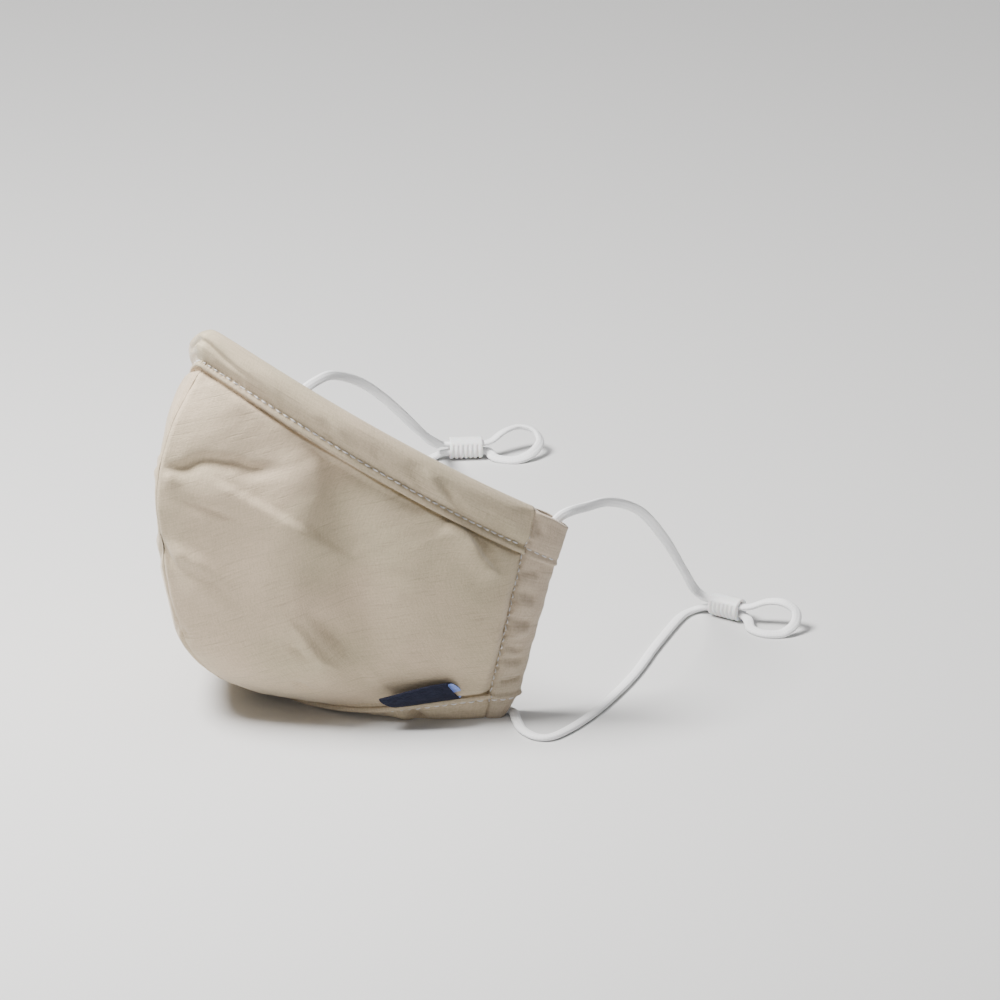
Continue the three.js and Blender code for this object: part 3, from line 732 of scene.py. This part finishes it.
def make_edge(node, edge_up, profile, heights, sides, steps):
    """The nose band or the chin hem, over both halves, with its profile round every station."""
    ring = closed_profile(profile, sides)
    share, side = np.meshgrid(np.linspace(0, 1, steps + 1), np.arange(sides), indexing="ij")
    depth, rise = ring[side, 0], ring[side, 1]
    place = share * edge_length(edge_up)
    facing = smooth_step(-0.2, 0.6, rise)
    rise = rise + heights(place, share, depth) * facing
    half = edge_points(share, edge_up, depth, rise)
    points = np.concatenate([turned(half)[:0:-1], half])
    rows, columns = points.shape[:2]
    faces = tube_faces(rows, columns)
    around = np.tile(lengths_along(ring, 0), (rows, 1))
    cloth = np.stack([np.concatenate([-place[:0:-1], place]), around], -1)
    return make_piece(f"{node}_cloth", points, faces, cloth, [band_cloth], "band_cotton", [node])


# ---- stitches ----
STITCH_WIDTH = 0.54
STITCH_LIFT = 0.42
STITCH_RINGS = 6
STITCH_SIDES = 6


def stitch_mesh(lines, pitch, stitch_length, seed):
    """Short threads along lines of (points, normals); each dips into the cloth at both ends."""
    draws = np.random.default_rng(seed)
    points, faces, cloth = [], [], []
    for line, normals in lines:
        travelled = lengths_along(line, 0)

        def at(place, values):
            return np.array([np.interp(place, travelled, values[:, k]) for k in range(3)])

        for centre in np.arange(pitch * 0.6, travelled[-1] - pitch * 0.4, pitch):
            sway, _ = draws.uniform(-0.1, 0.1, 2)
            start = len(points)
            for share in np.linspace(-1, 1, STITCH_RINGS):
                place = centre + share * stitch_length / 2
                where = at(place, line)
                normal = unit(at(place, normals))
                across = np.cross(normal, unit(at(place + 0.2, line) - where))
                radius = STITCH_WIDTH / 2 * math.sqrt(max(1 - 0.8 * share**2, 0.05))
                lift = STITCH_LIFT * (1 - share**2) - STITCH_WIDTH * 0.35
                middle = where + normal * lift + across * sway * share
                for side in range(STITCH_SIDES):
                    angle = 2 * math.pi * side / STITCH_SIDES
                    reach = math.cos(angle) * across + 0.8 * math.sin(angle) * normal
                    points.append(middle + radius * reach)
                    cloth.append((place, side * 0.2))
            faces += tube_faces(STITCH_RINGS, STITCH_SIDES, start)
    return points, faces, cloth


def make_stitches(name, lines, pitch, stitch_length, seed):
    mesh = stitch_mesh(lines, pitch, stitch_length, SEED + seed)
    return make_piece(name, *mesh, [stitch_thread], "elastic")


def edge_stitch_line(edge_up, depth, heights):
    """Places just off an edge's outer face along its stitches, and the directions outwards."""
    share = np.linspace(0.004, 1, 400)
    depths = np.full_like(share, depth)
    place = share * edge_length(edge_up)
    rises = EDGE_STITCH_RISE + heights(place, share, depths)
    points = edge_points(share, edge_up, depths, rises)
    return points, outward(*edge_place(share, edge_up, depths))


# ---- ear casings ----
# inset from the rear edge (0) to the panel (1), and rise outwards in mm
CASING_PROFILE = [
    (1.0, -0.75), (0.985, 0.05), (0.93, 0.75), (0.84, 1.25), (0.7, 1.65), (0.52, 1.85), (0.33, 1.8),
    (0.17, 1.35), (0.05, 0.5), (0.0, -0.8), (0.04, -2.0), (0.15, -3.0), (0.33, -3.55), (0.55, -3.6),
    (0.74, -3.2), (0.9, -2.5), (0.98, -1.7),
]
CHANNEL_PROFILE = [
    (0.82, -0.6), (0.78, 0.15), (0.68, 0.6), (0.54, 0.75), (0.36, 0.7), (0.21, 0.5), (0.13, 0.05),
    (0.1, -0.8), (0.13, -1.8), (0.21, -2.3), (0.36, -2.5), (0.54, -2.55), (0.68, -2.4), (0.78, -2.0),
    (0.82, -1.2),
]
# Puckers of a casing: name, start and end as places on the strip and heights, width and height.
CASING_PUCKERS = [
    straight("top_fold", (11.4, 63), (8.4, 58), 1.6, -1.22),
    straight("under_band", (12.0, 46), (4.8, 47.5), 1.4, -0.88),
    straight("upper_fold", (11.4, 41), (4.2, 39), 1.6, -0.94),
    straight("upper_ridge", (10.8, 37.5), (3.6, 36), 1.6, 0.68),
    straight("middle_fold", (12.0, 33), (3.6, 31.5), 1.5, -1.01),
    straight("middle_ridge", (10.8, 28), (3.6, 29), 1.5, 0.68),
    straight("lower_fold_1", (12.0, 25), (4.2, 22.5), 1.3, -1.15),
    straight("lower_fold_2", (12.0, 20.5), (2.4, 19.5), 1.2, -1.08),
    straight("lower_ridge", (10.8, 16.8), (3.6, 17.2), 1.4, 0.61),
    straight("lower_fold_3", (10.8, 13.4), (1.2, 13.2), 0.9, -1.08),
]
CASING_STITCH_INSET = 0.975
CASING_STITCH_PITCH = 2.5
CASING_STITCH_LENGTH = 2.0
# width in mm of the flat strip that a casing's profile and puckers are drawn on
CASING_STRIP = 12
# the seed of each casing's own unevenness
CASING_SEEDS = {"left": 31, "right": 37}


def casing_ring(profile, sides):
    """Evenly spaced places (inset share, rise in mm) round a casing's profile."""
    stretch = np.array([CASING_STRIP, 1])
    return closed_profile(np.array(profile) * stretch, sides) / stretch


def casing_points(inset, rise, up):
    """Points of a casing, with its mouths cut back at the rear, and where they lie across."""
    across = across_from_rear(up, inset * casing_width(up))
    points = surface(across, up) + outward(across, up) * rise[..., None]
    near_rear = 1 - smooth_step(0, 0.5, inset)
    points[..., 2] += BOTTOM_MOUTH_LIFT * near_rear * (1 - smooth_step(0, 0.12, up))
    points[..., 2] -= TOP_MOUTH_DROP * near_rear * smooth_step(0.9, 1, up)
    points[..., 2] = np.maximum(points[..., 2], 0.0)
    return points, across


def casing_heights(inset, rise, up, across, seed):
    """Extra rise of a casing: the band and the hem run on over it, and it puckers."""
    below_top = (1 - up) * length(along_up(across, np.ones_like(up)))
    above_hem = up * length(along_up(across, np.zeros_like(up)))
    height = up * (CASING_HEIGHT - CASING_START)
    outer = smooth_step(-1.4, 0.0, rise)
    band_step = 1.15 * smooth_step(BAND_WIDTH + 0.15, BAND_WIDTH - 0.35, below_top)
    band_dip = -0.7 * bell(below_top - BAND_STITCH_DEPTH, 0.8)
    band_puff = 0.35 * smooth_step(BAND_STITCH_DEPTH - 0.5, BAND_STITCH_DEPTH - 4, below_top)
    hem_ridge = 1.15 * bell(above_hem - HEM_WIDTH + 0.5, 0.7)
    hem_dip = -0.25 * bell(above_hem - HEM_STITCH_DEPTH, 0.6)
    hem_step = 0.35 * smooth_step(HEM_WIDTH + 0.1, HEM_WIDTH - 0.4, above_hem)
    folds = flat_folds(inset * CASING_STRIP, height, CASING_PUCKERS)
    uneven = 0.3 * lattice_noise(inset * 1.6 + 3, height / 2.6, seed)
    near_stitches = 0.45 * ripple(height, 4.2, seed % 7) * np.exp(-(1 - inset) * 5)
    to_stitches = (CASING_STITCH_INSET - inset) * CASING_STRIP
    seam_dip = -0.35 * (1 + np.cos(2 * np.pi * height / CASING_STITCH_PITCH)) * bell(to_stitches, 0.7)
    steps = band_step + band_dip + band_puff + hem_ridge + hem_dip + hem_step
    return (steps + folds + uneven + near_stitches + seam_dip) * outer


def make_casing(side):
    """A folded side channel: a tube with a profile outside and another inside, open at both ends."""
    sides, steps = 72, 150
    up, around = np.meshgrid(np.linspace(0, 1, steps + 1), np.arange(sides), indexing="ij")
    ring = casing_ring(CASING_PROFILE, sides)
    inset, rise = ring[around, 0], ring[around, 1]
    _, across = casing_points(inset, rise, up)
    rise = rise + casing_heights(inset, rise, up, across, CASING_SEEDS[side])
    outer, _ = casing_points(inset, rise, up)
    channel = casing_ring(CHANNEL_PROFILE, sides)
    inner, _ = casing_points(channel[around, 0], channel[around, 1], up)
    rows, count = steps + 1, (steps + 1) * sides
    faces = grid_faces(rows, sides, closed=True)
    faces += grid_faces(rows, sides, count, closed=True, flip=True)
    last = (rows - 1) * sides
    for here in range(sides):
        after = (here + 1) % sides
        faces.append((after, here, count + here, count + after))
        faces.append((last + here, last + after, count + last + after, count + last + here))
    points = np.concatenate([outer.reshape(-1, 3), inner.reshape(-1, 3)])
    flat = lengths_along(ring * np.array([CASING_STRIP, 1]), 0)
    cloth = np.stack([np.tile(flat, (rows, 1)), up * CASING_HEIGHT], -1).reshape(-1, 2)
    if side == "right":
        points = turned(points)
    name = f"{side}_casing"
    return make_piece(f"{name}_cloth", points, outward_faces(points, faces),
                      np.concatenate([cloth] * 2), [casing_cloth_painted_shade], "casing_cotton", [name])


def casing_line(side, inset, up):
    """A line over a casing's outer face, and the directions outwards along it."""
    ring = casing_ring(CASING_PROFILE, 200)
    outer = ring[ring[:, 1] > -0.8]
    outer = outer[np.argsort(outer[:, 0])]
    rise = np.interp(inset, outer[:, 0], outer[:, 1])
    across = across_from_rear(up, inset * casing_width(up))
    rise = rise + casing_heights(inset, rise, up, across, CASING_SEEDS[side])
    points, across = casing_points(inset, rise, up)
    normals = outward(across, up)
    return (points, normals) if side == "left" else (turned(points), turned(normals))


# ---- stitches of the casings and the edges ----
def casing_stitches(side, seed):
    up = np.linspace(0.015, 0.985, 300)
    seam = casing_line(side, np.full_like(up, CASING_STITCH_INSET), up)
    make_stitches(f"{side}_casing_stitches", [seam], CASING_STITCH_PITCH, CASING_STITCH_LENGTH, seed)


def edge_stitches(name, edge_up, depth, heights, seed):
    """The stitches of the band or the hem, over both halves and on over both casings."""
    line, normals = edge_stitch_line(edge_up, depth, heights)
    lines = [(line, normals), (turned(line), turned(normals))]
    inset = np.linspace(0.97, 0.06, 60)
    up = np.full_like(inset, 0.8 if edge_up == 1 else 0.1)
    for _ in range(6):
        up = up_from_edge(edge_up, across_from_rear(up, inset * casing_width(up)), depth)
    lines += [casing_line(side, inset, up) for side in ("left", "right")]
    make_stitches(name, lines, STITCH_PITCH, STITCH_LENGTH, seed)


# ---- the folded label ----
LABEL_FROM_ACROSS = 0.662
LABEL_TO_ACROSS = 0.83
LABEL_SLANT = 0.03
LABEL_TWIST = 0.055
LABEL_HEIGHT = 7.4
LABEL_LENGTH = 29
# height above the hem's fold and rise from the panel, from the outer sewn edge round to the inner
LABEL_LOOP = [
    (-0.8, 0.15), (0.6, 0.9), (2.0, 2.2), (4.0, 3.5), (5.8, 4.2), (7.0, 4.25), (7.45, 3.6), (7.1, 2.85),
    (5.8, 2.2), (4.0, 1.25), (2.0, 0.45), (0.2, 0.0), (-0.8, -0.1),
]
LABEL_THICKNESS = 0.4


def label_points(height, rise, sewn, inner):
    """Points of the ribbon; sewn is how far across they are sewn in, inner is 1 on its inner layer."""
    lift = np.clip(height / LABEL_HEIGHT, 0, 1)
    lean = smooth_step(LABEL_FROM_ACROSS, LABEL_TO_ACROSS, sewn)
    across = sewn - LABEL_SLANT * lift + LABEL_TWIST * inner * lift * (1.15 - lift) * lean
    up = up_above_hem(across, HEM_WIDTH + 0.3 + height)
    return surface(across, up) + outward(across, up) * (rise + 0.5)[..., None]


def make_label():
    """A ribbon folded over itself, with its navy face outside and its light blue one inside."""
    dense = curve_through(LABEL_LOOP)(np.linspace(0, 1, 60))
    ahead = unit(np.gradient(dense, axis=0))
    side_way = np.stack([ahead[:, 1], -ahead[:, 0]], -1)
    inner = dense + side_way * LABEL_THICKNESS
    profile = np.concatenate([dense, inner[::-1]])
    sewn, index = np.meshgrid(np.linspace(LABEL_FROM_ACROSS, LABEL_TO_ACROSS, 61),
                              np.arange(len(profile)), indexing="ij")
    share = (sewn - LABEL_FROM_ACROSS) / (LABEL_TO_ACROSS - LABEL_FROM_ACROSS)
    wave = 0.25 * np.sin(share * 5 + 0.6)
    turn = smooth_step(0.42, 0.62, np.linspace(0, 1, len(dense)))
    inner_share = np.concatenate([turn, turn[::-1]])[index]
    heights = profile[index, 0]
    points = label_points(heights, profile[index, 1] + wave * heights / LABEL_HEIGHT, sewn, inner_share)
    rows, columns = points.shape[:2]
    faces = grid_faces(rows, columns, closed=True)
    half = columns // 2
    ends = []
    for row in (0, rows - 1):
        for place in range(half - 1):
            a, b = row * columns + place, row * columns + place + 1
            c, d = row * columns + columns - 2 - place, row * columns + columns - 1 - place
            ends.append((a, b, c, d) if row else (d, c, b, a))
    around = np.tile(lengths_along(profile, 0), (rows, 1))
    cloth = np.stack([share * LABEL_LENGTH, around], -1)
    inside = [half <= face_index % columns < columns - 1 for face_index in range(len(faces))]
    return make_piece("side_label_ribbon", points, faces + ends, cloth,
                      [label_outside, label_inside], "label_ribbon", ["side_label"],
                      inside + [False] * len(ends))


# ---- ear loops ----
# The routes of the elastics, in mm: the casing's top mouth, the air,
# the surface, the adjuster, the end loop, the adjuster again and back to the bottom mouth.
LEFT_LOOP_ROUTE = [
    (65, 47.9, 54.5), (65.8, 49.7, 60), (66.4, 51.5, 63.8), (67.1, 54.7, 66.8),
    (66.9, 59.2, 67.4), (64, 67.2, 65.7), (57, 82.8, 61.3), (47.5, 102.6, 50), (38, 120.6, 32.5),
    (31.5, 133.7, 16.1), (29.6, 139.3, 8), (31.9, 141.3, 5.3), (35.9, 142.4, 4.95),
    (41, 144.1, 4.95), (46.1, 145.8, 4.95), (49, 147.2, 5.5), (53.5, 150.9, 7.8),
    (58.2, 153.7, 8.2), (62.3, 155.3, 6.2), (64.8, 152.9, 3.4), (64.9, 148.3, 1.6),
    (61.5, 143.9, 1.35), (55.5, 142.6, 1.4), (50, 145.3, 2), (46.1, 145.8, 2.25),
    (41, 144.1, 2.25), (35.9, 142.4, 2.25), (32.5, 140.4, 1.7), (31.5, 136.2, 1.3),
    (34.2, 129.3, 1.3), (47, 109.7, 1.3), (63, 86.7, 1.3), (77.5, 60.2, 1.3), (84.2, 40.7, 1.3),
    (82.5, 34, 1.3), (75, 33.4, 1.3), (67.5, 36.7, 1.3), (61.4, 40.1, 1.3), (59, 39.7, 1.7),
    (58.2, 38.2, 3.6), (58.7, 38, 7),
]
RIGHT_LOOP_ROUTE = [
    (-65, 47.9, 54.5), (-65.8, 49.7, 60), (-66.4, 51.5, 63.8), (-67, 54.8, 66.5),
    (-68.3, 61.2, 67.9), (-71.2, 70.7, 67), (-77, 85.7, 59.2), (-86, 102.5, 46.8),
    (-96, 119.2, 32.6), (-108, 137.6, 16.8), (-115.5, 148.3, 9), (-120.4, 153, 5.9),
    (-121.6, 155.5, 5.1), (-120.1, 157.3, 4.95), (-117.2, 161.8, 4.95), (-114.3, 166.3, 4.95),
    (-112.9, 169.1, 5.4), (-112.7, 174.2, 7.5), (-112, 179.9, 8), (-108.2, 183.3, 6.9),
    (-103.9, 182.3, 4.5), (-102.2, 176.9, 2.2), (-104, 171.2, 1.3), (-109, 167.7, 1.4),
    (-113.1, 168, 2), (-114.3, 166.3, 2.25), (-117.2, 161.8, 2.25), (-120.1, 157.3, 2.25),
    (-121.9, 153.2, 1.6), (-120, 146.2, 1.3), (-111.5, 127.7, 1.3), (-100.5, 104.7, 1.3),
    (-91, 81.7, 1.3), (-85.5, 59.7, 1.3), (-83, 44.7, 1.3), (-77.5, 37.5, 1.3), (-69, 37.3, 1.3),
    (-61.4, 40.1, 1.3), (-59, 39.7, 1.7), (-58.2, 38.2, 3.6), (-58.7, 38, 7),
]


# ---- camera ----
CAMERA_AZIMUTH = 51.6
CAMERA_ELEVATION = 22.5
CAMERA_LENS = 900
SENSOR_WIDTH = 36
FIELD_WIDTH = 0.32
VIEW_CENTRE = Vector((0.02209, 0.06575, 0.05495))


def make_camera():
    azimuth, elevation = math.radians(CAMERA_AZIMUTH), math.radians(CAMERA_ELEVATION)
    right = Vector((math.cos(azimuth), math.sin(azimuth), 0))
    back = Vector((math.sin(azimuth) * math.cos(elevation), -math.cos(azimuth) * math.cos(elevation),
                   math.sin(elevation)))
    up = back.cross(right)
    lens = bpy.data.cameras.new("camera")
    lens.lens = CAMERA_LENS
    lens.sensor_width = SENSOR_WIDTH
    lens.clip_end = 50
    camera = add_object("camera", lens)
    turn = Matrix((right, up, back)).transposed().to_4x4()
    distance = FIELD_WIDTH * CAMERA_LENS / SENSOR_WIDTH
    camera.matrix_world = Matrix.Translation(VIEW_CENTRE + back * distance) @ turn
    bpy.context.scene.camera = camera


# ---- ear loops: knitted elastic, flat, and twisting a little on its way ----
LOOP_STATIONS = 420
LOOP_SIDES = 20
# how soon the elastic's flat side turns to where it should face, and its twist in radians
SETTLE = 0.06
TWIST = 0.55
# height in mm of a route's points where they lie on the surface
LYING_HEIGHT = 1.3


def settled(route):
    """The route's smooth curve, with its flat elastic let down on to the surface."""
    places = curve_through(route)(np.linspace(0, 1, LOOP_STATIONS))
    drop = LYING_HEIGHT - ELASTIC_THICKNESS / 2 - 0.05
    places[:, 2] -= drop * (1 - smooth_step(LYING_HEIGHT, 2.0, places[:, 2]))
    return places


def make_loop(side, route):
    centres = settled(route)
    ahead = unit(np.gradient(centres, axis=0))
    travelled = lengths_along(centres, 0)
    faces_out = np.array([1.0 if side == "left" else -1.0, 0, 0])
    flat_way = faces_out
    points, cloth = [], []
    width, thickness = ELASTIC_WIDTH / 2, ELASTIC_THICKNESS / 2
    for station in range(LOOP_STATIONS):
        along, height = ahead[station], centres[station, 2]
        on_surface = 1 - smooth_step(3, 14, height)
        target = mix(faces_out, np.array([0, 0, 1.0]), on_surface)
        target = target - target @ along * along
        flat_way = flat_way - flat_way @ along * along
        if target @ flat_way < 0:
            target = -target
        flat_way = unit(flat_way + SETTLE * (target - flat_way))
        twist = TWIST * math.sin(travelled[station] / 19 + 0.8) * smooth_step(8, 20, height)
        side_way = np.cross(along, flat_way)
        across = math.cos(twist) * side_way + math.sin(twist) * flat_way
        out = math.cos(twist) * flat_way - math.sin(twist) * side_way
        for side_index in range(LOOP_SIDES):
            angle = 2 * math.pi * side_index / LOOP_SIDES
            reach = width * np.sign(math.cos(angle)) * abs(math.cos(angle)) ** 0.8
            rise = thickness * np.sign(math.sin(angle)) * abs(math.sin(angle)) ** 0.8
            points.append(centres[station] + across * reach + out * rise)
            cloth.append((angle * 1.3, travelled[station]))
    points = np.array(points)
    points[:, 2] = np.maximum(points[:, 2], 0.02)
    faces = outward_faces(points, tube_faces(LOOP_STATIONS, LOOP_SIDES))
    piece = make_piece(f"{side}_loop_elastic", points, faces, cloth, [elastic], "elastic",
                       [f"{side}_ear_loop"])
    return piece, centres, travelled[-1]


# ---- adjusters: silicone barrels with ribs below a smooth cap ----
RIB_COUNT = 7
RIB_DEPTH = 0.5
CORNER = 0.5
BORE_LIP = 0.25


def adjuster_outline():
    """Stations along the outside and back through the bore: place along the barrel, inset from
    its radius, and share of the way in to the bore."""
    half = ADJUSTER_LENGTH / 2
    turn = np.linspace(0, math.pi / 2, 7)
    corner = np.stack([CORNER * (1 - np.cos(turn)) - half, CORNER * (1 - np.sin(turn)), 0 * turn], -1)
    wall = [(x, 0, 0) for x in np.linspace(CORNER - half, half - CORNER, 150)[1:-1]]
    lip = np.array([(half - 0.02, CORNER, 0.5), (half - 0.1 * BORE_LIP, 0, 0.9)])
    bore = [(x, 0, 1) for x in np.linspace(half - BORE_LIP, BORE_LIP - half, 12)]
    mirror = np.array([-1, 1, 1])
    return np.concatenate([corner, wall, corner[::-1] * mirror, lip, bore, lip[::-1] * mirror])


def make_adjuster(side, centre, heading):
    sides = 72
    angles = 2 * np.pi * np.arange(sides) / sides
    outline = adjuster_outline()
    x, inset, to_bore = (outline[:, k, None] for k in range(3))
    ribs = 0.5 - 0.5 * np.cos(2 * np.pi * RIB_COUNT * (x / ADJUSTER_LENGTH + 0.5))
    grooves = RIB_DEPTH * (1 - ribs**0.6) * smooth_step(0, 0.8, ADJUSTER_LENGTH / 2 - abs(x))
    cap = smooth_step(0.35, 0.7, np.sin(angles))
    radius = ADJUSTER_RADIUS - inset - grooves * (1 - cap) + 0.12 * cap
    spread = BORE_SPREAD * np.tanh(6 * np.sin(angles))
    y = mix(radius, BORE_RADIUS, to_bore) * np.cos(angles)
    z = mix(radius * np.sin(angles), BORE_RADIUS * np.sin(angles) + spread, to_bore)
    points = np.stack(np.broadcast_arrays(x, y, z), -1).reshape(-1, 3)
    cos, sin = math.cos(heading), math.sin(heading)
    placed = points @ np.array([[cos, sin, 0], [-sin, cos, 0], [0, 0, 1]]) + np.array(centre)
    faces = outward_faces(placed, grid_faces(len(outline), sides, closed=True, joined=True))
    return make_piece(f"{side}_adjuster_silicone", placed, faces, points[:, :2], [silicone],
                      "silicone", [f"{side}_adjuster"])


# ---- floor and lights ----
FLOOR_HALF_SIZE = 6.0
FLOOR_GREY = (0.66, 0.66, 0.66, 1)
LIGHT_AIM = Vector((0.02, 0.066, 0.055))
LIGHT_DISTANCE = 0.8
LIGHT_SIZE = 0.35
# name, compass angle from +X and height in degrees, power in watts, colour
LIGHTS = [
    ("key", -118, 58, 20, (1, 0.985, 0.965)),
    ("low_left", -80, 8, 0.6, (1, 0.98, 0.95)),
    ("low_right", 0, 8, 0.45, (0.98, 0.99, 1)),
]
WORLD_STRENGTH = 0.09


def make_floor():
    mesh = bpy.data.meshes.new("floor")
    half = FLOOR_HALF_SIZE
    mesh.from_pydata([(-half, -half, 0), (half, -half, 0), (half, half, 0), (-half, half, 0)],
                     [], [(0, 1, 2, 3)])
    mesh.materials.append(Nodes("pale_floor").set(Base_Color=FLOOR_GREY, Roughness=0.9,
                                                  Specular_IOR_Level=0.1))
    floor = add_object("floor", mesh)


def area_light(name, where, aim, size, power, colour):
    light = bpy.data.lights.new(name, "AREA")
    light.shape = "DISK"
    light.size = size
    light.energy = power
    light.color = colour
    lamp = add_object(name, light)
    lamp.location = where
    lamp.rotation_euler = (where - aim).to_track_quat("Z", "Y").to_euler()


def make_lights():
    for name, compass, height, power, colour in LIGHTS:
        azimuth, elevation = math.radians(compass), math.radians(height)
        flat = math.cos(elevation)
        way = Vector((math.cos(azimuth) * flat, math.sin(azimuth) * flat, math.sin(elevation)))
        area_light(name, LIGHT_AIM + way * LIGHT_DISTANCE, LIGHT_AIM, LIGHT_SIZE, power, colour)
    area_light("top", Vector((0.1, 0.1, 1.4)), Vector((0.1, 0.1, 0)), size=1.2, power=8,
               colour=(1, 1, 1))
    world = bpy.data.worlds.new("studio")
    world.use_nodes = True
    background = world.node_tree.nodes["Background"]
    background.inputs["Color"].default_value = (1, 1, 1, 1)
    background.inputs["Strength"].default_value = WORLD_STRENGTH
    bpy.context.scene.world = world


# ---- the mask ----
make_camera()
make_floor()
make_lights()

# each adjuster's centre in mm and its heading in radians
ADJUSTERS = {"left": ((41, 144.1, 3.6), 0.319), "right": ((-117.2, 161.8, 3.6), 0.992)}
for side, route in (("left", LEFT_LOOP_ROUTE), ("right", RIGHT_LOOP_ROUTE)):
    loop, centres, loop_length = make_loop(side, route)
    adjuster = make_adjuster(side, *ADJUSTERS[side])

panels = [make_panel("left", seed=11), make_panel("right", seed=23)]
casings = [make_casing("left"), make_casing("right")]
band = make_edge("nose_band", 1, BAND_PROFILE, band_heights, sides=116, steps=260)
hem = make_edge("chin_hem", 0, HEM_PROFILE, hem_heights, sides=88, steps=170)
label = make_label()

casing_stitches("left", seed=1)
casing_stitches("right", seed=2)
edge_stitches("nose_band_stitches", 1, BAND_STITCH_DEPTH, band_heights, seed=3)
edge_stitches("chin_hem_stitches", 0, HEM_STITCH_DEPTH, hem_heights, seed=4)
